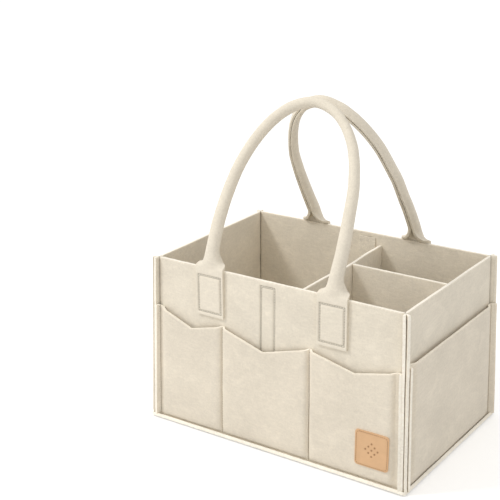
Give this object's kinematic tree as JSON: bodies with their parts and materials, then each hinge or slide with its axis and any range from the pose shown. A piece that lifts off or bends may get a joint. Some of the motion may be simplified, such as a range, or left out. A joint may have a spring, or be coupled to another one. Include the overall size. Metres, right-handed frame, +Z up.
{
  "type": "diaper caddy",
  "caption": "Felt diaper caddy: a rectangular basket with outside pockets, a leather patch, rolled folding handles and a lift-out hook-and-loop divider insert.",
  "frame": {"origin": "middle of the flat underside of the base panel", "axes": "+Z up, +X to the right along the long front, -Y out of the front"},
  "size_m": [0.404, 0.274, 0.4654],
  "materials": {
    "base_felt": "pressed felt, cream",
    "wall_felt": "pressed felt, cream",
    "pocket_felt": "pressed felt, cream",
    "strap_felt": "pressed felt, cream",
    "divider_felt": "pressed felt, cream",
    "loop_tape": "brushed loop pile",
    "hook_tape": "woven tape with hooks",
    "filler_cord": "soft cotton cord",
    "patch_leather": "smooth tan leather, matt"
  },
  "bodies": {
    "basket": {"base_panel": "base_felt", "front_wall": "wall_felt", "back_wall": "wall_felt", "left_wall": "wall_felt", "right_wall": "wall_felt", "front_pocket_panel": "pocket_felt", "back_pocket_panel": "pocket_felt", "left_pocket_panel": "pocket_felt", "right_pocket_panel": "pocket_felt", "front_left_tab": "strap_felt", "front_right_tab": "strap_felt", "back_left_tab": "strap_felt", "back_right_tab": "strap_felt", "front_loop_tape": "loop_tape", "back_loop_tape": "loop_tape", "leather_patch": "patch_leather"},
    "front_handle": {"front_handle_sleeve": "strap_felt", "front_handle_filler_cord": "filler_cord"},
    "back_handle": {"back_handle_sleeve": "strap_felt", "back_handle_filler_cord": "filler_cord"},
    "divider_insert": {"main_divider": "divider_felt", "cross_divider": "divider_felt", "front_hook_tape": "hook_tape", "back_hook_tape": "hook_tape"}
  },
  "joints": [
    {"name": "front_handle_fold", "type": "hinge", "parent": "basket", "child": "front_handle", "pos_m": [0, -0.1293, 0.242], "axis": [1, 0, 0], "range_deg": [0, 175.5]},
    {"name": "back_handle_fold", "type": "hinge", "parent": "basket", "child": "back_handle", "pos_m": [0, 0.1293, 0.242], "axis": [-1, 0, 0], "range_deg": [0, 181]},
    {"name": "divider_lift", "type": "slide", "parent": "basket", "child": "divider_insert", "axis": [0, 0, 1], "range_m": [0, 0.155]}
  ]
}
